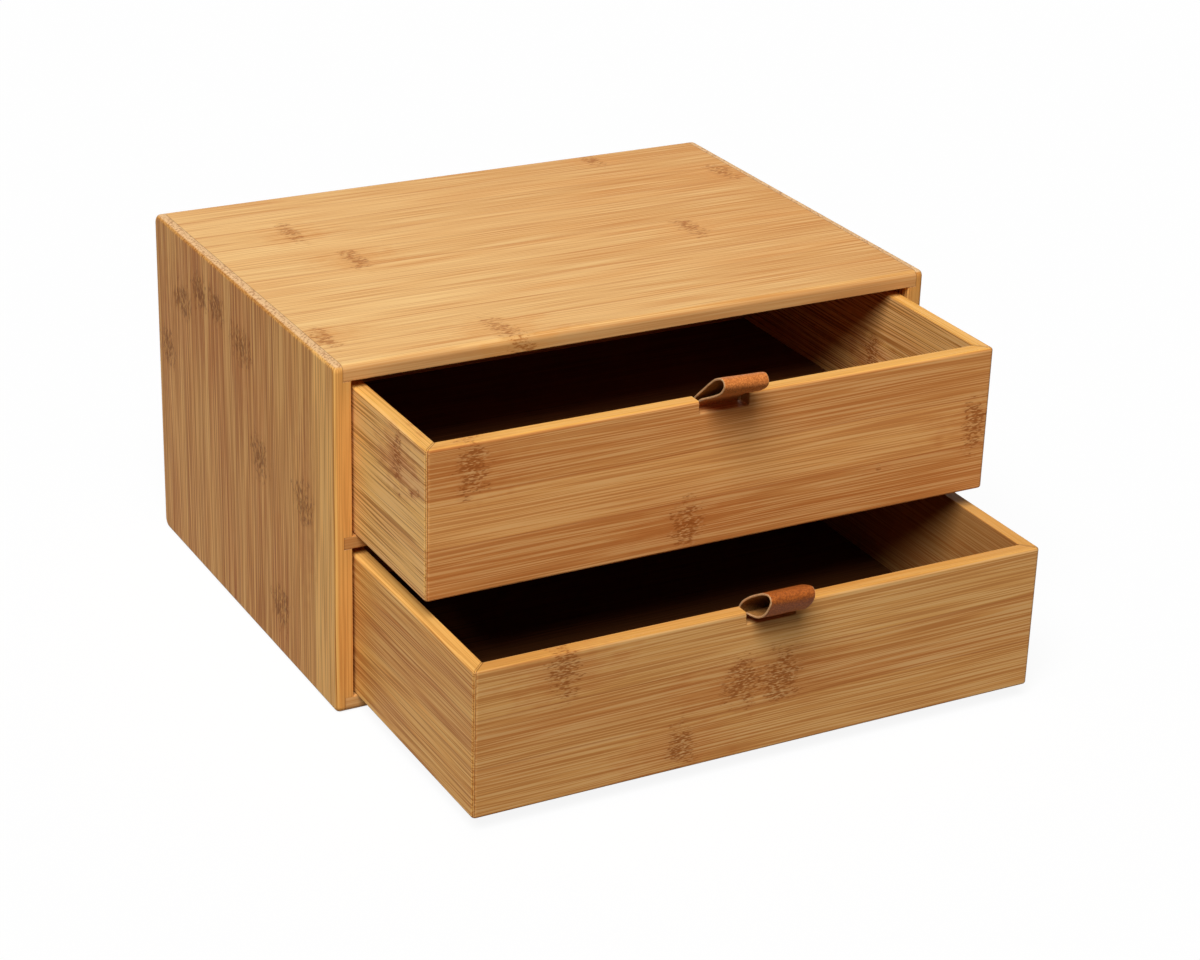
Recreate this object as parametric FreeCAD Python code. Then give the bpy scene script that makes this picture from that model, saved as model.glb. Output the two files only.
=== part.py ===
import FreeCAD, Part
import math
import os

from FreeCAD import Vector

# Two-drawer bamboo tea box: a housed case, mitred drawers and folded leather pulls.
# Lengths are in millimetres. X runs to the right, Y to the back and Z up.
# The origin is the middle of the case's footprint, on the surface it stands on.

# Case
case_width = 300.0
case_depth = 220.0
case_height = 167.0
side_thickness = 8.0
panel_thickness = 7.5
shelf_thickness = 6.0
housing_depth = 4.0  # how far the boards are let into the sides
back_thickness = 4.0
back_inset = 2.0
back_groove_depth = 4.0
front_corner_radius = 3.0
rear_corner_radius = 5.0
arris_radius = 2.2  # the long outer edges of the sides
easing_radius = 0.5  # sanded edges round the drawer openings

# Drawers
drawer_side_clearance = 1.5
drawer_headroom = 4.0
drawer_rear_gap = 4.0
drawer_wall = 7.0
drawer_bottom_thickness = 4.0
drawer_bottom_lift = 9.0
drawer_groove_depth = 3.5
drawer_corner_radius = 2.0
rim_radius = 1.3
inner_rim_radius = 0.5
loose_panel_play = 0.3  # round the edges of the panels that float in grooves
upper_drawer_pulled_out = 72.0
lower_drawer_pulled_out = 119.0

# Leather pulls
strap_width = 22.0
strap_thickness = 1.0
strap_layer_gap = 0.3
strap_tail = 16.0  # below the floor of the notch
strap_tail_bend = 1.8
strap_case_clearance = 1.1  # under the board above, when the drawer is shut
strap_edge_reach = 0.6  # where the outer layer has passed the edge of that board
strap_edge_bend = 6.0

# Bends of each loop between its two tails, as the distance out of the drawer's face, the
# height over the drawer's top edge, and the radius of the bend
upper_loop_bends = ((9.5, 4.1, 9.0), (17.9, 8.8, 3.6), (14.4, 17.4, 2.8))
lower_loop_bends = ((7.0, -1.6, 7.0), (17.8, 2.2, 4.2), (15.8, 11.0, 3.8))

# Notch in the drawer fronts, which the strap passes through
notch_side_clearance = 1.5
notch_depth = 6.0
notch_corner_radius = 1.0

# Screws through the tails
screw_spacing = 12.0
screw_drop = 8.0  # below the floor of the notch
screw_shank_radius = 1.25
screw_head_radius = 2.8
screw_head_height = 1.7
screw_length = 7.0  # under the head
screw_slot_width = 0.7
screw_slot_depth = 0.7
pilot_clearance = 0.05
tail_hole_clearance = 0.25

# Limits for telling shapes apart
match_tolerance = 1e-4  # between an edge and a plane that it lies on
straight_turn = 0.001  # a smaller turn of the strap's path, in radians, needs no arc

# Planes that several boards share
case_front = -case_depth / 2
case_back = case_depth / 2
inner_half_width = case_width / 2 - side_thickness
housed_half_width = inner_half_width + housing_depth
back_face = case_back - back_inset - back_thickness
compartment_height = (case_height - 2 * panel_thickness - shelf_thickness) / 2
shelf_underside = panel_thickness + compartment_height
shelf_top = shelf_underside + shelf_thickness
top_underside = case_height - panel_thickness

drawer_half_width = inner_half_width - drawer_side_clearance
drawer_length = back_face - case_front - drawer_rear_gap
drawer_height = compartment_height - drawer_headroom
notch_width = strap_width + 2 * notch_side_clearance


def block(low, high):
    """A plain board between two corners."""
    size = [high[i] - low[i] for i in range(3)]
    return Part.makeBox(*size, Vector(*low))


def on_plane(edge, **planes):
    """True where every point of an edge lies on the planes given as x, y or z."""
    box = edge.BoundBox
    spans = {"x": (box.XMin, box.XMax), "y": (box.YMin, box.YMax), "z": (box.ZMin, box.ZMax)}
    return all(
        max(abs(low - planes[axis]), abs(high - planes[axis])) < match_tolerance
        for axis, (low, high) in spans.items()
        if axis in planes
    )


def rounded(shape, radius, *places):
    """Rounds the edges that lie on any of the places, each a set of planes."""
    edges = [edge for edge in shape.Edges if any(on_plane(edge, **place) for place in places)]
    return shape.makeFillet(radius, edges)


def save(name, shape):
    """Writes one piece to its own file."""
    shape.exportStep("parts/" + name + ".step")


# The boards of the case


def back_panel():
    """Thin board that floats in a groove all round."""
    half_width = inner_half_width + back_groove_depth - loose_panel_play
    rise = back_groove_depth - loose_panel_play
    return block(
        (-half_width, back_face, panel_thickness - rise),
        (half_width, back_face + back_thickness, top_underside + rise),
    )


def back_groove():
    """The space that the edges of the back panel are let into."""
    half_width = inner_half_width + back_groove_depth
    return block(
        (-half_width, back_face, panel_thickness - back_groove_depth),
        (half_width, back_face + back_thickness, top_underside + back_groove_depth),
    )


def side_board():
    """Right side: housings for the boards on its inner face, rounded outside."""
    outer = case_width / 2
    board = block((inner_half_width, case_front, 0), (outer, case_back, case_height))
    board = rounded(board, easing_radius, {"x": inner_half_width, "y": case_front})
    board = rounded(
        board,
        rear_corner_radius,
        {"y": case_back, "z": 0},
        {"y": case_back, "z": case_height},
    )
    board = rounded(
        board,
        front_corner_radius,
        {"y": case_front, "z": 0},
        {"y": case_front, "z": case_height},
    )
    board = rounded(board, arris_radius, {"x": outer})
    housings = [
        (0, panel_thickness, case_back),
        (shelf_underside, shelf_top, back_face),
        (top_underside, case_height, case_back),
    ]
    for bottom, top, rear in housings:
        board = board.cut(block((0, case_front, bottom), (housed_half_width, rear, top)))
    return board.cut(back_groove())


def end_board():
    """Top board: a groove for the back below, its outer edges worked flush with the sides."""
    board = block(
        (-housed_half_width, case_front, top_underside),
        (housed_half_width, case_back, case_height),
    )
    board = rounded(board, front_corner_radius, {"y": case_front, "z": case_height})
    board = rounded(board, rear_corner_radius, {"y": case_back, "z": case_height})
    board = rounded(board, easing_radius, {"y": case_front, "z": top_underside})
    return board.cut(back_groove())


def divider_shelf():
    """Shelf between the drawers, up to the face of the back."""
    board = block(
        (-housed_half_width, case_front, shelf_underside),
        (housed_half_width, back_face, shelf_top),
    )
    return rounded(
        board,
        easing_radius,
        {"y": case_front, "z": shelf_underside},
        {"y": case_front, "z": shelf_top},
    )


def build_case():
    """The six boards of the case."""
    middle = Vector(0, 0, case_height / 2)
    right = side_board()
    top = end_board()
    return {
        "left_side": right.mirror(Vector(0, 0, 0), Vector(1, 0, 0)),
        "right_side": right,
        "top_panel": top,
        "bottom_panel": top.mirror(middle, Vector(0, 0, 1)),
        "divider_shelf": divider_shelf(),
        "back_panel": back_panel(),
    }


# The drawers, each made with its face at Y = 0 and its lower edge at Z = 0


def drawer_ring():
    """The four walls in one, before the mitres are sawn."""
    half = drawer_half_width
    ring = block((-half, 0, 0), (half, drawer_length, drawer_height))
    ring = rounded(
        ring,
        drawer_corner_radius,
        {"x": -half, "y": 0},
        {"x": half, "y": 0},
        {"x": -half, "y": drawer_length},
        {"x": half, "y": drawer_length},
    )
    ring = ring.cut(
        block(
            (drawer_wall - half, drawer_wall, 0),
            (half - drawer_wall, drawer_length - drawer_wall, drawer_height),
        )
    )
    outer_rims = [edge for edge in ring.Edges if is_rim(edge, outside=True)]
    ring = ring.makeFillet(rim_radius, outer_rims)
    inner_rims = [edge for edge in ring.Edges if is_rim(edge, outside=False)]
    return ring.makeFillet(inner_rim_radius, inner_rims)


def is_rim(edge, outside):
    """Picks the edges round the ring's top or bottom, on its outer or its inner side."""
    level = on_plane(edge, z=drawer_height) or (outside and on_plane(edge, z=0))
    middle = edge.valueAt((edge.FirstParameter + edge.LastParameter) / 2)
    beyond_x = abs(middle.x) - (drawer_half_width - drawer_wall)
    beyond_y = abs(middle.y - drawer_length / 2) - (drawer_length / 2 - drawer_wall)
    in_cavity = max(beyond_x, beyond_y) < match_tolerance
    return level and in_cavity != outside


def bottom_groove():
    """The space that the edges of the drawer's bottom are let into."""
    reach = drawer_wall - drawer_groove_depth
    return block(
        (reach - drawer_half_width, reach, drawer_bottom_lift),
        (
            drawer_half_width - reach,
            drawer_length - reach,
            drawer_bottom_lift + drawer_bottom_thickness,
        ),
    )


def drawer_bottom():
    """Thin board that floats in the grooves of the four walls."""
    reach = drawer_wall - drawer_groove_depth + loose_panel_play
    return block(
        (reach - drawer_half_width, reach, drawer_bottom_lift),
        (
            drawer_half_width - reach,
            drawer_length - reach,
            drawer_bottom_lift + drawer_bottom_thickness,
        ),
    )


def mitre_wedge(corners):
    """A prism over the whole height, whose slanting sides are the mitres of one wall."""
    points = [Vector(x, y, 0) for x, y in corners]
    face = Part.Face(Part.makePolygon(points + points[:1]))
    return face.extrude(Vector(0, 0, drawer_height))


def notch():
    """Cutter for the notch: straight walls with eased corners at its floor."""
    half = notch_width / 2
    low = drawer_height - notch_depth
    cutter = block((-half, 0, low), (half, drawer_wall, drawer_height))
    return rounded(
        cutter,
        notch_corner_radius,
        {"x": -half, "z": low},
        {"x": half, "z": low},
    )


def drawer_walls():
    """Front, back and sides, mitred at the corners and grooved for the bottom."""
    half = drawer_half_width
    far = drawer_length
    wall = drawer_wall
    outline = [(-half, 0), (half, 0), (half, far), (-half, far)]
    inline = [
        (wall - half, wall),
        (half - wall, wall),
        (half - wall, far - wall),
        (wall - half, far - wall),
    ]
    ring = drawer_ring().cut(bottom_groove())
    pieces = {}
    for index, name in enumerate(("front", "right_side", "back", "left_side")):
        following = (index + 1) % 4
        wedge = mitre_wedge(
            [outline[index], outline[following], inline[following], inline[index]]
        )
        pieces[name] = ring.common(wedge)
    front = pieces["front"].cut(notch())
    for hole in screw_shanks(screw_shank_radius + pilot_clearance):
        front = front.cut(hole)
    pieces["front"] = front
    return pieces


# The leather pulls and their screws


def turned(direction, angle):
    """A direction in the plane of the strap's path, turned by an angle."""
    return (
        direction[0] * math.cos(angle) - direction[1] * math.sin(angle),
        direction[0] * math.sin(angle) + direction[1] * math.cos(angle),
    )


def heading(start, end):
    """The direction from one point of the path to the next."""
    run = math.hypot(end[0] - start[0], end[1] - start[1])
    return ((end[0] - start[0]) / run, (end[1] - start[1]) / run)


def turn_between(before, after):
    """How far the path turns at a bend, positive to the left."""
    cross = before[0] * after[1] - before[1] * after[0]
    dot = before[0] * after[0] + before[1] * after[1]
    return math.atan2(cross, dot)


def shifted_path(path, offset):
    """The path moved to its left by an offset, with each bend about the same centre."""
    moved = []
    for index, (out, up, radius) in enumerate(path):
        before = heading(path[max(index - 1, 0)][:2], path[max(index, 1)][:2])
        last = len(path) - 1
        after = heading(path[min(index, last - 1)][:2], path[min(index + 1, last)][:2])
        turn = turn_between(before, after)
        normal = turned(turned(before, turn / 2), math.pi / 2)
        reach = offset / math.cos(turn / 2)
        inside = offset if turn > 0 else -offset
        moved.append((out + normal[0] * reach, up + normal[1] * reach, radius - inside))
    return moved


def strap_point(out, up):
    """A point of the strap's side view, at its left edge."""
    return Vector(-strap_width / 2, -out, drawer_height + up)


def path_edges(path):
    """Straight runs joined by tangent arcs."""
    edges = []
    start = path[0][:2]
    for index in range(1, len(path) - 1):
        corner, radius = path[index][:2], path[index][2]
        before = heading(path[index - 1][:2], corner)
        after = heading(corner, path[index + 1][:2])
        turn = turn_between(before, after)
        if abs(turn) < straight_turn:
            continue
        tangent = radius * math.tan(abs(turn) / 2)
        bend_start = (corner[0] - before[0] * tangent, corner[1] - before[1] * tangent)
        bend_end = (corner[0] + after[0] * tangent, corner[1] + after[1] * tangent)
        inward = turned(heading(bend_start, bend_end), math.copysign(math.pi / 2, -turn))
        sagitta = radius * (1 - math.cos(turn / 2))
        middle = (
            (bend_start[0] + bend_end[0]) / 2 + inward[0] * sagitta,
            (bend_start[1] + bend_end[1]) / 2 + inward[1] * sagitta,
        )
        points = [strap_point(*point) for point in (bend_start, middle, bend_end)]
        edges.append(Part.makeLine(strap_point(*start), points[0]))
        edges.append(Part.Arc(*points).toShape())
        start = bend_end
    edges.append(Part.makeLine(strap_point(*start), strap_point(*path[-1][:2])))
    return edges


def strap_path(bends):
    """Middle line of the strap: up the wall, round the loop and down over the first tail."""
    inner_tail = -drawer_wall - strap_thickness / 2
    tail_end = -notch_depth - strap_tail
    inner_layer = [
        (inner_tail, tail_end, 0),
        (inner_tail, strap_tail_bend - notch_depth, strap_tail_bend),
        *bends,
    ]
    under_edge = (
        strap_edge_reach,
        drawer_headroom - strap_case_clearance - strap_thickness / 2,
        strap_edge_bend,
    )
    outer_bend = shifted_path(inner_layer, strap_thickness + strap_layer_gap)[1]
    return [*inner_layer, under_edge, outer_bend, (outer_bend[0], tail_end, 0)]


def pull_loop(bends):
    """The folded strap, with holes for the screws through both tails."""
    path = strap_path(bends)
    half = strap_thickness / 2
    left = path_edges(shifted_path(path, half))
    right = path_edges(shifted_path(path, -half))
    ends = [
        Part.makeLine(left[0].Vertexes[0].Point, right[0].Vertexes[0].Point),
        Part.makeLine(left[-1].Vertexes[-1].Point, right[-1].Vertexes[-1].Point),
    ]
    outline = Part.Wire(Part.__sortEdges__(left + right + ends))
    strap = Part.Face(outline).extrude(Vector(strap_width, 0, 0))
    for hole in screw_shanks(screw_shank_radius + tail_hole_clearance):
        strap = strap.cut(hole)
    return strap


def screw_seat():
    """Where the screw heads bear on the outer tail, behind the drawer's face."""
    return drawer_wall + 2 * strap_thickness + strap_layer_gap


def screw_shanks(radius):
    """Two round shanks of a given radius, from the outer tail into the drawer's front."""
    height = drawer_height - notch_depth - screw_drop
    return [
        Part.makeCylinder(
            radius,
            screw_length,
            Vector(side * screw_spacing / 2, screw_seat(), height),
            Vector(0, -1, 0),
        )
        for side in (-1, 1)
    ]


def pull_screws():
    """Two round-head screws with a slot across the head."""
    height = drawer_height - notch_depth - screw_drop
    screws = []
    for side, shank in zip((-1, 1), screw_shanks(screw_shank_radius)):
        foot = Vector(side * screw_spacing / 2, screw_seat(), height)
        rise = screw_head_height
        crown = (screw_head_radius**2 + rise**2) / (2 * rise)
        dome = Part.makeSphere(crown, foot + Vector(0, rise - crown, 0))
        above_seat = Part.makeCylinder(crown, crown, foot, Vector(0, 1, 0))
        slot = Part.makeBox(
            2 * screw_head_radius,
            screw_slot_depth,
            screw_slot_width,
            foot + Vector(-screw_head_radius, rise - screw_slot_depth, -screw_slot_width / 2),
        )
        screws.append(dome.common(above_seat).cut(slot).fuse(shank))
    return Part.makeCompound(screws)


def build_drawer(level, pulled_out, loop_bends):
    """One drawer with its pull, standing at a level and drawn out of the case."""
    pieces = {"drawer_" + name: wall for name, wall in drawer_walls().items()}
    pieces["drawer_bottom"] = drawer_bottom()
    pieces["pull_loop"] = pull_loop(loop_bends)
    pieces["pull_screws"] = pull_screws()
    place = Vector(0, case_front - pulled_out, level)
    for piece in pieces.values():
        piece.translate(place)
    return pieces


def main():
    """Builds every piece and writes it."""
    os.makedirs("parts", exist_ok=True)
    for name, shape in build_case().items():
        save(name, shape)
    drawers = {
        "upper": (shelf_top, upper_drawer_pulled_out, upper_loop_bends),
        "lower": (panel_thickness, lower_drawer_pulled_out, lower_loop_bends),
    }
    for place, (level, pulled_out, bends) in drawers.items():
        for name, shape in build_drawer(level, pulled_out, bends).items():
            save(place + "_" + name, shape)


main()
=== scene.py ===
import math
import random

import bmesh
import bpy
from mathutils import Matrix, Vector, noise


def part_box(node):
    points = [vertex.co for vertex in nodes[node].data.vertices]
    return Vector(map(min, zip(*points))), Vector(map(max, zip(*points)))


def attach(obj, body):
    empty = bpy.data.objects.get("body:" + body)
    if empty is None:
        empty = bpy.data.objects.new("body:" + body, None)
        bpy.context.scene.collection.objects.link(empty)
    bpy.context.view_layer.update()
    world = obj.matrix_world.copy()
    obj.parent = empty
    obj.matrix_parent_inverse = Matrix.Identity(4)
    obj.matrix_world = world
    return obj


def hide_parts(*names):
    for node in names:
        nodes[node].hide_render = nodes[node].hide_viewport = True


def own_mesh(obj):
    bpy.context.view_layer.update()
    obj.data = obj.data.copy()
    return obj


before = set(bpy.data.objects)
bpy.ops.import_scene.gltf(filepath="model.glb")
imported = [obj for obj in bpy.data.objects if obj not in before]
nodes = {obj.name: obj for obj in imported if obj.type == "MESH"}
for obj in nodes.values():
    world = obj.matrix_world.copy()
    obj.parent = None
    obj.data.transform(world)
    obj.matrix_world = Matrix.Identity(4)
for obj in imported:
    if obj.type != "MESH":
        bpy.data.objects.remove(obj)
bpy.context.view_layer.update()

print("frame loaded:", len(nodes), "nodes")


def tint(code):
    # a colour written as six hex digits, as the shaders want it
    channels = [int(code[i:i + 2], 16) / 255 for i in (0, 2, 4)]
    linear = [c / 12.92 if c <= 0.04045 else ((c + 0.055) / 1.055) ** 2.4 for c in channels]
    return (*linear, 1.0)


class Wire:
    # an output socket, so that sums written in Python add their Math nodes
    def __init__(self, shader, socket):
        self.shader = shader
        self.socket = socket

    def output(self, name):
        return Wire(self.shader, self.socket.node.outputs[name])

    def __add__(self, other):
        return self.shader.maths("ADD", self, other)

    def __sub__(self, other):
        return self.shader.maths("SUBTRACT", self, other)

    def __rsub__(self, other):
        return self.shader.maths("SUBTRACT", other, self)

    def __mul__(self, other):
        return self.shader.maths("MULTIPLY", self, other)

    def __truediv__(self, other):
        return self.shader.maths("DIVIDE", self, other)

    __radd__ = __add__
    __rmul__ = __mul__


class Shader:
    def __init__(self, owner):
        owner.use_nodes = True
        self.tree = owner.node_tree
        self.tree.nodes.clear()

    def node(self, kind, settings=None, sockets=None, out=0):
        made = self.tree.nodes.new(kind)
        for name, value in (settings or {}).items():
            if name == "stops":
                self.fillRamp(made.color_ramp, value)
            else:
                setattr(made, name, value)
        for name, value in (sockets or {}).items():
            if isinstance(value, Wire):
                self.tree.links.new(value.socket, made.inputs[name])
            else:
                made.inputs[name].default_value = value
        return Wire(self, made.outputs[out] if len(made.outputs) else None)

    def fillRamp(self, ramp, stops):
        # steps, each keeping its grey up to the next one
        ramp.interpolation = "CONSTANT"
        while len(ramp.elements) < len(stops):
            ramp.elements.new(1.0)
        for element, (place, grey) in zip(ramp.elements, stops):
            element.position = place
            element.color = (grey, grey, grey, 1.0)

    def maths(self, operation, first, second=0.0):
        return self.node("ShaderNodeMath", {"operation": operation}, {0: first, 1: second})

    def step(self, value, low, high):
        # 0 below low, 1 above high, smooth between
        sockets = {"Value": value, "From Min": low, "From Max": high}
        return self.node("ShaderNodeMapRange", {"interpolation_type": "SMOOTHSTEP"}, sockets)

    def mix(self, share, first, second):
        return self.node("ShaderNodeMix", {"data_type": "RGBA"}, {0: share, 6: first, 7: second}, 2)

    def point(self, x, y, z):
        return self.node("ShaderNodeCombineXYZ", None, {"X": x, "Y": y, "Z": z})

    def cloud(self, place, detail, roughness=0.5, scale=1.0):
        sockets = {"Vector": place, "Scale": scale, "Detail": detail, "Roughness": roughness}
        return self.node("ShaderNodeTexNoise", None, sockets)

    def vector(self, operation, first, second=(0.0, 0.0, 0.0), out=0):
        sockets = {0: first, 1: second}
        return self.node("ShaderNodeVectorMath", {"operation": operation}, sockets, out)

    def place(self):
        # where the point lies in the piece's own metres
        return self.node("ShaderNodeTexCoord", None, None, "Object")

    def axes(self, wire):
        split = self.node("ShaderNodeSeparateXYZ", None, {0: wire})
        return {axis: split.output(axis.upper()) for axis in "xyz"}

    def finish(self, colour, roughness, height, bump, **fixed):
        normal = self.node("ShaderNodeBump", None, {"Height": height, **bump})
        sockets = {"Base Color": colour, "Roughness": roughness, "Normal": normal, **fixed}
        surface = self.node("ShaderNodeBsdfPrincipled", None, sockets)
        self.node("ShaderNodeOutputMaterial", None, {"Surface": surface})


# Every board is made of bamboo strips glued side by side. Fibres run along the grain, and
# the strips carry the marks of the cane's joints.
grainPattern = {
    "stripWidth": 0.023, "toneRange": (0.1, 0.9),
    # turns of each pattern per metre along the grain and across it, its detail and roughness
    "fibre": (17, 1850, 0.0, 0.5), "line": (7, 680, 2.0, 0.7), "streak": (4, 170, 2.0, 0.6),
    "patch": (6, 60, 1.0, 0.5), "dash": (420, 1350, 1.0, 0.5), "ragged": (130, 260, 1.0, 0.5),
    "sawnDot": (900, 900, 1.0, 0.5), "sway": (8, 30, 1.0, 0.5),
    "swayReach": 0.0014, "crowding": 0.004, "toneShift": 7.3, "raggedReach": 2.2,
    "haloLength": 4.5,
    "jointLine": "6b3a16", "jointWidth": 0.0005, "rimBlend": 0.001,
    "rougher": {"fibre": 0.2, "mark": 0.08, "sawnEnd": 0.15},
    "relief": {"fibre": 0.5, "line": 0.4, "dash": 0.5, "seam": 0.6},
    "bump": {"Strength": 0.09, "Distance": 0.0004},
}
# the two values between which each mask goes from 0 to 1
maskSteps = {
    "seam": (0.475, 0.495), "boardEdge": (0.55, 0.9), "sawnEnd": (0.6, 0.9), "sawnDot": (0.5, 0.62),
    "darkGrain": (0.5, 0.64), "lightGrain": (0.52, 0.65), "patch": (0.45, 0.72), "mark": (0.2, 1.7),
    "darkDash": (0.65, 0.75), "dashReach": (0.03, 0.25), "fleck": (0.36, 0.44),
}
# how much of its tint each layer lays over the wood
layerShares = {
    "streak": 0.05, "line": 0.12, "fibre": 0.55, "patch": 0.7, "warm": 0.75, "seam": 0.4,
    "mark": 0.28, "fleck": 0.36, "darkDash": 0.66, "dashNearMark": 0.2, "joint": 0.65,
    "sawnDot": 0.55, "grainLostOnEdge": 0.55,
}

caseWood = {
    "pale": "e8b56f", "deep": "dc9f56", "ruddy": "da9449", "streak": "b8641c",
    "light": "f5ce8c", "edge": "d4995d", "mark": "a4602a", "endGrainAndShade": "e8bd8a",
    "roughness": 0.42, "contrast": 0.7, "shine": 0.06,
}
topWood = {**caseWood, "pale": "f0c07c", "deep": "cf9048"}
shelfWood = {**caseWood, "pale": "cd9152", "deep": "be8148", "edge": "b27a44", "light": "dba868"}
sideWood = {
    **caseWood, "pale": "f6ba66", "deep": "c4833a", "ruddy": "c27832", "streak": "924a12",
    "light": "efbc6c", "edge": "dd9a50", "mark": "744014", "contrast": 0.96,
}
# the drawers' dark end-grain colour is painted shade: it darkens the notch cheeks, which lie in the
# shadow of the leather loops
drawerWood = {
    "pale": "e8a860", "deep": "c67e40", "ruddy": "c57538", "streak": "a64d14",
    "light": "f7c786", "edge": "f3b559", "mark": "964f1e", "endGrainAndShade": "a8703a",
    "roughness": 0.42, "contrast": 0.61, "shine": 0.06,
}
lowerWood = {
    **drawerWood, "pale": "d9a15c", "deep": "cb8e4e", "ruddy": "c0763c", "streak": "9a4d18",
    "light": "e8c084", "edge": "dea24f", "mark": "8c4c1e", "contrast": 0.68,
}
# painted light: the upper drawer's sides are a paler copy of the drawer wood, for the light on the
# lit inner face of its right wall
litUpperSideWood = {
    **drawerWood, "pale": "ffc670", "deep": "e8a058", "streak": "8e4410", "contrast": 1.1,
}
lowerSideWood = {
    **lowerWood, "pale": "ecac5a", "deep": "d8944a", "light": "f0c478", "edge": "f0b45e",
    "contrast": 1.0,
}
# painted shade: the lower drawer's right wall is a darker copy, for the shade that the upper drawer
# casts on it
shadedLowerWallWood = {**lowerWood, "pale": "c48e52", "deep": "b57d42", "light": "d4a468"}
# painted shade: the drawer bottoms are a dark brown that stands in for the deep shade inside the
# shut drawers
shadeDarkBoardWood = {
    **drawerWood, "pale": "6e4222", "deep": "60371b", "ruddy": "5c3318", "streak": "3e200e",
    "light": "774a28", "edge": "8a5a30", "contrast": 0.7, "roughness": 0.55,
}


def caneMarks(shader, along, side, ragged, marks):
    # how near each point is to a mark of the cane's joints, and a longer halo round it
    near, halo = 0.0, 0.0
    here = shader.point(along, side, 0.0)
    for markAlong, markSide, length, width in marks:
        reach = shader.vector("SUBTRACT", here, (markAlong, markSide, 0.0))
        masks = []
        for stretch in (1.0, grainPattern["haloLength"]):
            scaled = shader.vector("MULTIPLY", reach, (2 / length / stretch, 2 / width, 0.0))
            away = shader.vector("LENGTH", scaled, out="Value")
            masks.append(1 - shader.step(away + ragged, *maskSteps["mark"]))
        near = shader.maths("MAXIMUM", masks[0], near)
        halo = shader.maths("MAXIMUM", masks[1], halo)
    return near, halo


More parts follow.
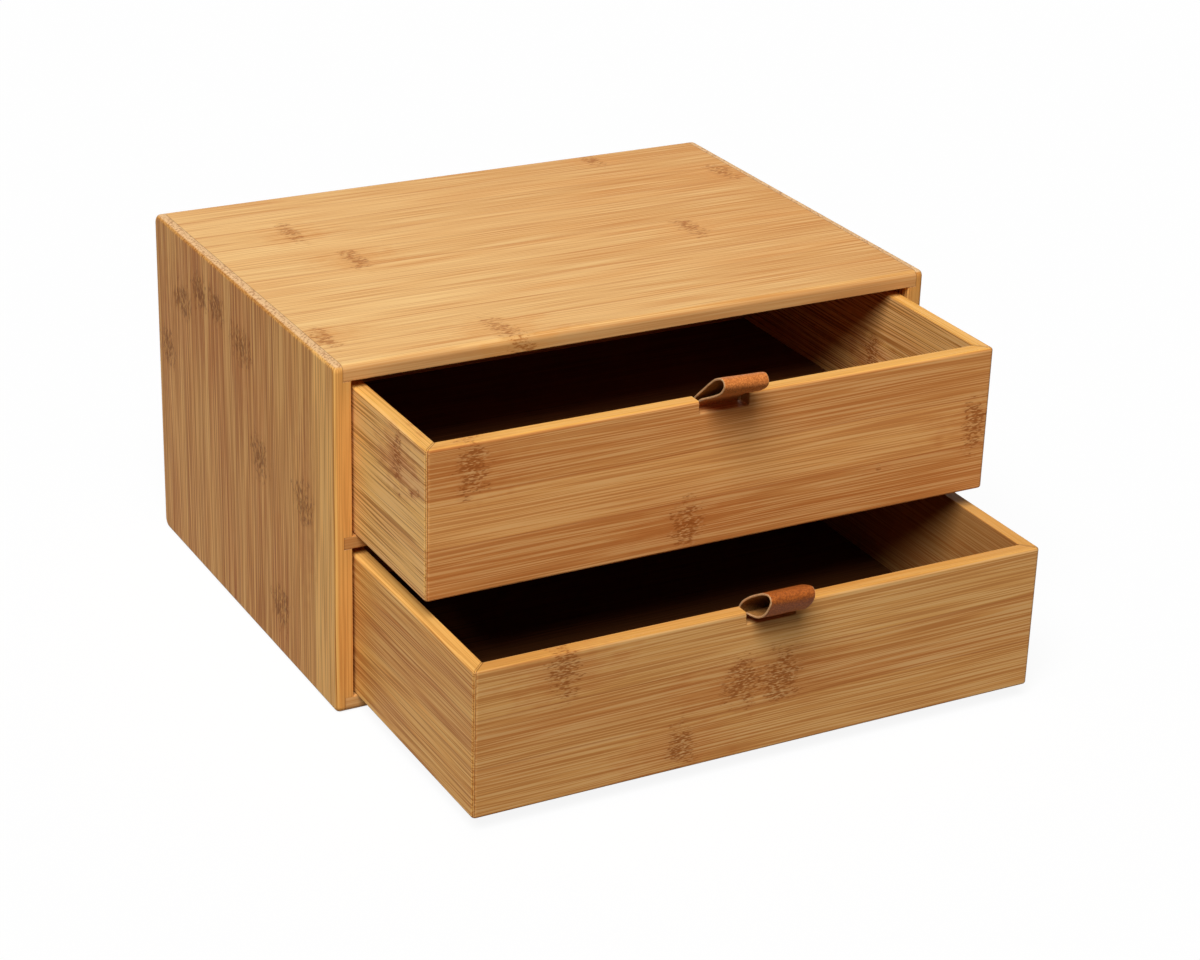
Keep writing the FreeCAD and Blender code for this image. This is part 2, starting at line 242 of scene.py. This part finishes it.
def bamboo(name, board, wood):
    material = bpy.data.materials.new(name)
    shader = Shader(material)
    place = shader.place()
    here = shader.axes(place)
    facing = shader.axes(place.output("Normal"))
    grain, across = board["grain"], board["across"]
    through = next(axis for axis in "xyz" if axis not in (grain, across))
    along, side, deep = here[grain], here[across], here[through]

    def mask(kind, value):
        return shader.step(value, *maskSteps[kind])

    def layOver(share, under, colour):
        return shader.mix(share, under, tint(wood[colour]))

    # strips, each with its own tone
    low, high = board["span"]
    count = max(1, round((high - low) / grainPattern["stripWidth"]))
    dice = random.Random(name)
    tones = board.get("tones") or [dice.uniform(*grainPattern["toneRange"]) for _ in range(count)]
    strips = (side - low) / (high - low)
    stops = [(i / len(tones), tone) for i, tone in enumerate(tones)]
    tone = shader.node("ShaderNodeValToRGB", {"stops": stops}, {"Fac": strips})
    withinStrip = shader.maths("FRACT", strips * len(tones))
    seam = mask("seam", shader.maths("ABSOLUTE", withinStrip - 0.5))

    def pattern(kind, sideways, start):
        lengthwise, crosswise, detail, roughness = grainPattern[kind]
        spot = shader.point(along * lengthwise + start, sideways * crosswise, deep * crosswise)
        return shader.cloud(spot, detail, roughness)

    # the fibres wander a little, no line runs on into the next strip, and fine lines lie
    # closer together in some places than in others
    bent = side + (pattern("sway", side, 0.0) - 0.5) * grainPattern["swayReach"]
    start = tone * grainPattern["toneShift"]
    streaks = pattern("streak", bent, start)
    crowded = bent + (streaks - 0.5) * grainPattern["crowding"]
    lines, fibre = [pattern(kind, crowded, start) for kind in ("line", "fibre")]
    patches, dashes, dots = [pattern(kind, bent, start) for kind in ("patch", "dash", "sawnDot")]
    ragged = (pattern("ragged", bent, start) - 0.5) * grainPattern["raggedReach"]
    near, halo = caneMarks(shader, along, side, ragged, board.get("marks", ()))

    # the wood itself, with paler or darker long edges
    edge = mask("boardEdge", shader.maths("ABSOLUTE", facing[across]))
    if "rim" in board:
        edge = edge * shader.step(side, board["rim"] - grainPattern["rimBlend"], board["rim"])
    # painted light falloff: a board with this setting turns deeper along its grain, so the top is
    # paler at its left end and deeper towards the right
    if "paintedFalloff" in board:
        tone = tone + along * board["paintedFalloff"]
    colour = shader.mix(tone, tint(wood["pale"]), tint(wood["deep"]))
    colour = layOver(edge * board["edgeShare"], colour, "edge")
    contrast = wood["contrast"]
    warm = shader.maths("MAXIMUM", mask("patch", patches) * layerShares["patch"], halo)
    colour = layOver(warm * (layerShares["warm"] * contrast), colour, "ruddy")

    # each layer of grain has dark lines and light ones
    clear = (1 - edge * layerShares["grainLostOnEdge"]) * contrast
    for kind, layer in (("streak", streaks), ("line", lines), ("fibre", fibre)):
        share = clear * layerShares[kind]
        colour = layOver(mask("darkGrain", layer) * share, colour, "streak")
        colour = layOver(mask("lightGrain", 1 - layer) * share, colour, "light")
    colour = layOver(seam * (1 - edge) * layerShares["seam"], colour, "streak")

    # marks of the cane's joints: a stain, pale flecks and dark dashes
    nearer = dashes + near * layerShares["dashNearMark"]
    dark = mask("darkDash", nearer) * mask("dashReach", near)
    flecks = (1 - mask("fleck", dashes)) * near
    colour = layOver(near * layerShares["mark"], colour, "mark")
    colour = layOver(flecks * layerShares["fleck"], colour, "light")
    colour = layOver(dark * layerShares["darkDash"], colour, "mark")

    # a fine dark line where this board meets the next one, straight or on a mitre
    if "joint" in board:
        middle, half, face, inward = board["joint"]
        gap = half - shader.maths("ABSOLUTE", along - middle) - (deep - face) * inward
        joint = 1 - shader.step(shader.maths("ABSOLUTE", gap), 0.0, grainPattern["jointWidth"])
        colour = shader.mix(joint * layerShares["joint"], colour, tint(grainPattern["jointLine"]))

    # sawn ends show the cut fibres as dots
    # on the drawers the sawn ends take a darker colour, which is painted shade for the notch cheeks
    # under each loop
    end = mask("sawnEnd", shader.maths("ABSOLUTE", facing[grain]))
    ends = layOver(mask("sawnDot", dots) * layerShares["sawnDot"], tint(wood["endGrainAndShade"]), "streak")
    colour = shader.mix(end, colour, ends)

    rougher, relief = grainPattern["rougher"], grainPattern["relief"]
    roughness = wood["roughness"] + (fibre - 0.5) * rougher["fibre"]
    roughness = roughness + near * rougher["mark"] + end * rougher["sawnEnd"]
    height = fibre * relief["fibre"] + lines * relief["line"] - dark * relief["dash"]
    height = height - seam * relief["seam"] + dots * end
    shine = {"Specular IOR Level": wood["shine"]}
    shader.finish(colour, roughness, height, grainPattern["bump"], **shine)
    return material


def dress(name, board, wood):
    mesh = nodes[name].data
    mesh.materials.clear()
    mesh.materials.append(bamboo(name + "Bamboo", board, wood))


# marks: place along the grain, place across it, length and width, all in metres
caseBoards = {
    "top_panel": {
        "grain": "x", "across": "y", "span": (-0.110, 0.110), "edgeShare": 0.8, "paintedFalloff": 3.0,
        "tones": (0.28, 0.42, 0.26, 0.45, 0.35, 0.5, 0.35, 0.56, 0.42, 0.6),
        "marks": (
            (-0.101, 0.055, 0.008, 0.026), (-0.088, 0.011, 0.008, 0.026),
            (-0.141, -0.077, 0.008, 0.02), (-0.065, -0.097, 0.010, 0.022),
            (-0.060, -0.112, 0.010, 0.012), (0.084, 0.101, 0.008, 0.02),
            (0.138, 0.057, 0.009, 0.022), (0.079, -0.013, 0.009, 0.022),
        ),
    },
    "bottom_panel": {"grain": "x", "across": "y", "span": (-0.110, 0.110), "edgeShare": 0.8,
                     "marks": ((0.02, -0.05, 0.013, 0.022), (-0.09, 0.03, 0.013, 0.022))},
    "divider_shelf": {"grain": "x", "across": "y", "span": (-0.110, 0.104), "edgeShare": 0.5},
    "left_side": {
        "grain": "z", "across": "y", "span": (-0.1085, 0.1215), "edgeShare": 0.7,
        "tones": (0.0, 0.62, 0.88, 1.0, 0.85, 1.0, 0.78, 0.9, 0.72, 0.82),
        "marks": (
            (0.134, 0.073, 0.016, 0.020), (0.146, 0.050, 0.016, 0.020),
            (0.146, 0.0285, 0.014, 0.020), (0.138, -0.002, 0.016, 0.020),
            (0.102, 0.096, 0.016, 0.014), (0.091, -0.0227, 0.018, 0.018),
            (0.0885, -0.0745, 0.018, 0.018), (0.0252, -0.0453, 0.018, 0.018),
        ),
    },
    "right_side": {
        "grain": "z", "across": "y", "span": (-0.1085, 0.1215), "edgeShare": 0.7,
        "marks": (
            (0.06, 0.04, 0.016, 0.02), (0.12, -0.06, 0.016, 0.02), (0.03, -0.02, 0.016, 0.02),
        ),
    },
    "back_panel": {"grain": "x", "across": "z", "span": (0.0, 0.184), "edgeShare": 0.75,
                   "marks": ((-0.05, 0.08, 0.014, 0.022),)},
}
caseWoods = {
    "left_side": sideWood, "right_side": sideWood, "top_panel": topWood, "divider_shelf": shelfWood,
}
for name, board in caseBoards.items():
    if name in ("top_panel", "bottom_panel", "divider_shelf"):
        # its two ends butt against the sides
        board["joint"] = (0.0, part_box(name)[1].x, 0.0, 0.0)
    dress(name, board, caseWoods.get(name, caseWood))
print("case boards dressed")

drawerMarks = {
    "upper_drawer_front": ((-0.119, 0.144, 0.013, 0.023), (-0.015, 0.098, 0.014, 0.021),
                           (0.133, 0.120, 0.010, 0.022), (0.082, 0.1067, 0.003, 0.003)),
    "lower_drawer_front": ((-0.099, 0.066, 0.012, 0.021), (-0.042, 0.018, 0.012, 0.020),
                           (-0.0126, 0.044, 0.016, 0.021), (0.0067, 0.042, 0.015, 0.022)),
    "upper_drawer_left_side": ((-0.154, 0.140, 0.008, 0.022), (-0.174, 0.134, 0.0025, 0.0025),
                               (-0.168, 0.131, 0.0025, 0.003)),
    "upper_drawer_right_side": ((-0.097, 0.121, 0.010, 0.022),),
    "lower_drawer_left_side": ((-0.080, 0.042, 0.012, 0.021),),
    "upper_drawer_back": ((0.04, 0.121, 0.013, 0.022),),
    "lower_drawer_back": ((-0.06, 0.042, 0.013, 0.022),),
}
# the upper drawer's sides take the paler copy as painted light, and the lower drawer's right wall
# the darker one as painted shade; its deep tones below add to that painted shade
wallWoods = {
    "upper_drawer_left_side": litUpperSideWood, "upper_drawer_right_side": litUpperSideWood,
    "lower_drawer_left_side": lowerSideWood, "lower_drawer_right_side": shadedLowerWallWood,
}
wallTones = {
    "upper_drawer_front": (0.75, 0.2, 0.6), "lower_drawer_front": (0.65, 0.85, 0.35),
    "upper_drawer_left_side": (0.1, 0.0, 0.2), "upper_drawer_right_side": (0.35, 0.2, 0.45),
    "lower_drawer_left_side": (0.2, 0.0, 0.3), "lower_drawer_right_side": (0.9, 1.0, 0.8),
}
wallRim = 0.002  # how far down from a wall's top its pale edge reaches
for place in ("upper", "lower"):
    for wall in ("front", "back", "left_side", "right_side"):
        name = place + "_drawer_" + wall
        low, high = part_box(name)
        grain, through = ("y", "x") if "side" in wall else ("x", "y")
        start, end = getattr(low, grain), getattr(high, grain)
        facesOut = wall in ("front", "left_side")
        face = getattr(low if facesOut else high, through)
        board = {
            "grain": grain, "across": "z", "span": (low.z, high.z),
            "joint": ((start + end) / 2, (end - start) / 2, face, 1.0 if facesOut else -1.0),
            "marks": drawerMarks.get(name, ()), "tones": wallTones.get(name), "edgeShare": 0.85,
            "rim": high.z - wallRim,
        }
        dress(name, board, wallWoods.get(name, lowerWood if place == "lower" else drawerWood))
    # the bottom's dark colour is painted shade for the inside of the drawer
    name = place + "_drawer_bottom"
    low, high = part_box(name)
    board = {"grain": "x", "across": "y", "span": (low.y, high.y), "edgeShare": 0.3}
    dress(name, board, shadeDarkBoardWood)
print("drawers dressed")


# each pull is one strap of leather, folded into a loop
pulls = {
    "width": 0.022, "thickness": 0.0010, "softEdge": 0.00028, "cornerShare": 0.3,
    "cells": 14, "curveSteps": 6,
    # small waves of the surface: how deep, how many across and how fast they change along it
    "waver": 0.00018, "waverAcross": 90, "waverAlong": 0.11,
    # one side of a loop hangs lower than the other, fully so at this distance out
    "lean": {"upper": 0.0005, "lower": 0.0003}, "leanReach": 0.016,
    # a shut drawer's loop is pressed down by the board over it, as far as its screws
    "pressed": {"upper": 0.86, "lower": 0.8}, "screwDrop": 0.0145,
    # two colours, pebbles per metre and roughness of the inside, the cut edges and both outsides
    "fleshSide": ("b27c40", "7c4e24", 1900.0, 0.8), "cutEdge": ("dcb284", "b07f50", 2600.0, 0.8),
    "upper": ("de8742", "a85a26", 1200.0, 0.42), "lower": ("b96428", "7a3a14", 1200.0, 0.42),
}
# middle line of each strap from its inner tail round the loop to its outer tail, as the distance
# out of the drawer's face and the height over the drawer's top edge
loopLines = {
    "upper": (
        (-0.0075, -0.0220), (-0.0075, -0.0140), (-0.0075, -0.0080), (-0.0071, -0.0050),
        (-0.0050, -0.0027), (-0.0018, -0.0004), (0.0018, 0.0016), (0.0062, 0.0037),
        (0.0110, 0.0062), (0.0148, 0.0088), (0.0168, 0.0114), (0.0168, 0.0134),
        (0.0154, 0.0146), (0.0130, 0.0145), (0.0094, 0.0129), (0.0063, 0.0107),
        (0.0033, 0.0081), (0.0004, 0.0056), (-0.0024, 0.0031), (-0.0050, 0.0007),
        (-0.0072, -0.0018), (-0.0087, -0.0048), (-0.0092, -0.0088), (-0.0090, -0.0140),
        (-0.0090, -0.0220),
    ),
    "lower": (
        (-0.0075, -0.0220), (-0.0075, -0.0140), (-0.0075, -0.0080), (-0.0070, -0.0052),
        (-0.0050, -0.0031), (-0.0020, -0.0018), (0.0016, -0.0011), (0.0056, -0.0001),
        (0.0095, 0.0020), (0.0127, 0.0051), (0.0150, 0.0087), (0.0159, 0.0113),
        (0.0152, 0.0130), (0.0130, 0.0135), (0.0090, 0.0122), (0.0045, 0.0099),
        (0.0004, 0.0073), (-0.0031, 0.0048), (-0.0060, 0.0023), (-0.0082, -0.0006),
        (-0.0093, -0.0038), (-0.0095, -0.0075), (-0.0092, -0.0110), (-0.0090, -0.0150),
        (-0.0090, -0.0220),
    ),
}


def smoothLine(points, steps):
    # a curve through all the points, with this many steps from each to the next
    line = []
    points = [Vector(p) for p in points]
    ends = [2 * points[0] - points[1], *points, 2 * points[-1] - points[-2]]
    for a, b, c, d in zip(ends, ends[1:], ends[2:], ends[3:]):
        for i in range(steps):
            t = i / steps
            line.append(0.5 * (2 * b + (c - a) * t + (2 * a - 5 * b + 4 * c - d) * t ** 2
                               + (3 * b - a - 3 * c + d) * t ** 3))
    return [*line, points[-1]]


# where each finish stands in a pull's list of materials
innerFinish, outerFinish, cutFinish = range(3)


def strapRing():
    # section of the strap: places across its width and thickness, and the finish of each run
    half, thick, soft = pulls["width"] / 2, pulls["thickness"] / 2, pulls["softEdge"]
    flat, corner, cells = half - soft, soft * pulls["cornerShare"], pulls["cells"]
    face = [(flat - 2 * flat * i / cells, thick) for i in range(cells + 1)]
    cut = ((corner - half, thick - corner), (-half, thick - soft),
           (-half, soft - thick), (corner - half, corner - thick))
    ring = []
    for turn, finish in ((1, innerFinish), (-1, outerFinish)):
        ring += [(turn * x, turn * y, finish) for x, y in face]
        ring += [(turn * x, turn * y, cutFinish) for x, y in cut]
    return ring


leatherGrain = {
    "mottleScale": 600.0, "poreScale": 1700.0,
    # where each pattern starts and ends as it rises, and how much it darkens
    "mottle": (0.42, 0.66, 0.3), "pore": (0.47, 0.6, 0.6), "pebble": (0.45, 0.75, 0.5),
    "rougher": 0.12, "pebbleRelief": 0.6, "poreRelief": 0.5,
    "bump": {"Strength": 0.45, "Distance": 0.0003}, "shine": 0.12,
}


def leather(name, pale, dark, pebbleScale, roughness):
    material = bpy.data.materials.new(name)
    shader = Shader(material)
    place = shader.place()
    pebbles = shader.node("ShaderNodeTexVoronoi", None, {"Vector": place, "Scale": pebbleScale})
    mottle = shader.cloud(place, 3.0, scale=leatherGrain["mottleScale"])
    pores = shader.cloud(place, 2.0, scale=leatherGrain["poreScale"])
    colour = tint(pale)
    for kind, pattern in (("mottle", mottle), ("pore", pores), ("pebble", pebbles)):
        low, high, share = leatherGrain[kind]
        colour = shader.mix(shader.step(pattern, low, high) * share, colour, tint(dark))
    height = pebbles * leatherGrain["pebbleRelief"] + pores * leatherGrain["poreRelief"]
    shine = {"Specular IOR Level": leatherGrain["shine"]}
    shader.finish(colour, roughness + mottle * leatherGrain["rougher"], height,
                  leatherGrain["bump"], **shine)
    return material


fleshSide = leather("leatherFleshSide", *pulls["fleshSide"])
cutEdge = leather("leatherCutEdge", *pulls["cutEdge"])


def pullLoop(place):
    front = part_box(place + "_drawer_front")
    face, top = front[0].y, front[1].z
    line = smoothLine(loopLines[place], pulls["curveSteps"])
    ring = strapRing()
    shape = bmesh.new()
    rows = []
    for index, spot in enumerate(line):
        before, after = line[max(index - 1, 0)], line[min(index + 1, len(line) - 1)]
        ahead = (after - before).normalized()
        left = Vector((-ahead.y, ahead.x))
        row = []
        for x, thick, _ in ring:
            wave = Vector((x * pulls["waverAcross"], index * pulls["waverAlong"], face))
            out, up = spot + left * (thick + noise.noise(wave) * pulls["waver"])
            up -= pulls["lean"][place] * max(out, 0.0) / pulls["leanReach"] * x / pulls["width"] * 2
            row.append(shape.verts.new((x, face - out, top + up)))
        rows.append(row)
    for one, two in zip(rows, rows[1:]):
        for i in range(len(ring)):
            j = (i + 1) % len(ring)
            quad = shape.faces.new((one[i], one[j], two[j], two[i]))
            quad.material_index = ring[i][2] if ring[i][2] == ring[j][2] else cutFinish
            quad.smooth = True
    for row in (rows[0], rows[-1]):
        shape.faces.new(row).material_index = cutFinish
    bmesh.ops.recalc_face_normals(shape, faces=shape.faces)
    mesh = bpy.data.meshes.new(place + "PullLeather")
    shape.to_mesh(mesh)
    shape.free()
    loop = bpy.data.objects.new(place + "PullLeather", mesh)
    bpy.context.scene.collection.objects.link(loop)
    grainSide = leather(place + "LeatherGrainSide", *pulls[place])
    for finish in (fleshSide, grainSide, cutEdge):
        mesh.materials.append(finish)
    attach(loop, place + "_drawer")
    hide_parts(place + "_pull_loop")
    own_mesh(loop)


for place in ("upper", "lower"):
    pullLoop(place)
print("leather pulls made")


# two round-head screws hold the tails of each pull
screws = {
    "steel": "b9b4aa", "tarnish": "8d877c", "scuffScale": 900.0, "scuffSteps": (0.4, 0.7),
    "roughness": 0.28, "rougher": 0.2, "bump": {"Strength": 0.15, "Distance": 0.0002},
}


def screwSteel():
    material = bpy.data.materials.new("screwSteel")
    shader = Shader(material)
    scuffs = shader.cloud(shader.place(), 3.0, scale=screws["scuffScale"])
    share = shader.step(scuffs, *screws["scuffSteps"])
    colour = shader.mix(share, tint(screws["steel"]), tint(screws["tarnish"]))
    roughness = screws["roughness"] + scuffs * screws["rougher"]
    shader.finish(colour, roughness, scuffs, screws["bump"], Metallic=1.0)
    return material


steel = screwSteel()
for place in ("upper", "lower"):
    mesh = nodes[place + "_pull_screws"].data
    mesh.materials.clear()
    mesh.materials.append(steel)
print("screws dressed")


# plain pale floor, one soft key light from the upper left front, and a camera
studio = {
    "floorSize": 12.0, "floorCells": 8, "floorColour": "f7f7f7", "floorFleck": "fbfbfb",
    "fleckScale": 60.0, "floorRoughness": 0.9, "floorGlow": 0.9,
    "floorBounce": "605c57",  # what the floor throws back on the object
    "ambient": 0.034, "ambientColour": "fff8f0",
    "keyFrom": (-14.0, -17.0, 30.0), "keyStrength": 3.7, "keySoftness": 36.0,
}
view = {
    "place": (-0.5917, -1.1488, 0.6232), "turn": (65.808, -1.659, -28.086),
    "lens": 85.94, "sensor": 36.0, "farthest": 50.0,
}
plainWhite = (1.0, 1.0, 1.0, 1.0)


def plainView(shader):
    # rays that see the backdrop itself, straight, in a reflection or through glass
    path = shader.node("ShaderNodeLightPath", None, None, "Is Camera Ray")
    seen = shader.maths("MAXIMUM", path, path.output("Is Glossy Ray"))
    return shader.maths("MAXIMUM", seen, path.output("Is Transmission Ray"))


def makeFloor():
    shape = bmesh.new()
    cells = studio["floorCells"]
    bmesh.ops.create_grid(shape, x_segments=cells, y_segments=cells, size=studio["floorSize"] / 2)
    mesh = bpy.data.meshes.new("floor")
    shape.to_mesh(mesh)
    shape.free()
    floor = bpy.data.objects.new("floor", mesh)
    bpy.context.scene.collection.objects.link(floor)
    material = bpy.data.materials.new("floorPaper")
    shader = Shader(material)
    flecks = shader.cloud(shader.place(), 4.0, scale=studio["fleckScale"])
    colour = shader.mix(flecks, tint(studio["floorColour"]), tint(studio["floorFleck"]))
    seen = plainView(shader)
    colour = shader.mix(seen, tint(studio["floorBounce"]), colour)
    matt = shader.node("ShaderNodeBsdfPrincipled", None,
                       {"Base Color": colour, "Roughness": studio["floorRoughness"]})
    glow = shader.node("ShaderNodeEmission", None, {"Color": plainWhite, "Strength": 1.0})
    share = seen * studio["floorGlow"]
    surface = shader.node("ShaderNodeMixShader", None, {0: share, 1: matt, 2: glow})
    shader.node("ShaderNodeOutputMaterial", None, {"Surface": surface})
    mesh.materials.append(material)


def makeLight():
    world = bpy.data.worlds.new("studio")
    bpy.context.scene.world = world
    shader = Shader(world)
    dim = shader.node("ShaderNodeBackground", None,
                      {"Color": tint(studio["ambientColour"]), "Strength": studio["ambient"]})
    white = shader.node("ShaderNodeBackground", None, {"Color": plainWhite, "Strength": 1.0})
    surface = shader.node("ShaderNodeMixShader", None, {0: plainView(shader), 1: dim, 2: white})
    shader.node("ShaderNodeOutputWorld", None, {"Surface": surface})
    lamp = bpy.data.lights.new("keyLight", "SUN")
    lamp.energy = studio["keyStrength"]
    lamp.angle = math.radians(studio["keySoftness"])
    key = bpy.data.objects.new("keyLight", lamp)
    key.rotation_euler = Vector(studio["keyFrom"]).to_track_quat("Z", "Y").to_euler()
    bpy.context.scene.collection.objects.link(key)


def makeCamera():
    lens = bpy.data.cameras.new("camera")
    lens.lens = view["lens"]
    lens.sensor_width = view["sensor"]
    lens.clip_end = view["farthest"]
    camera = bpy.data.objects.new("camera", lens)
    camera.location = view["place"]
    camera.rotation_euler = [math.radians(angle) for angle in view["turn"]]
    bpy.context.scene.collection.objects.link(camera)
    bpy.context.scene.camera = camera


makeFloor()
makeLight()
makeCamera()
bpy.context.scene.view_settings.view_transform = "Standard"
print("studio ready")
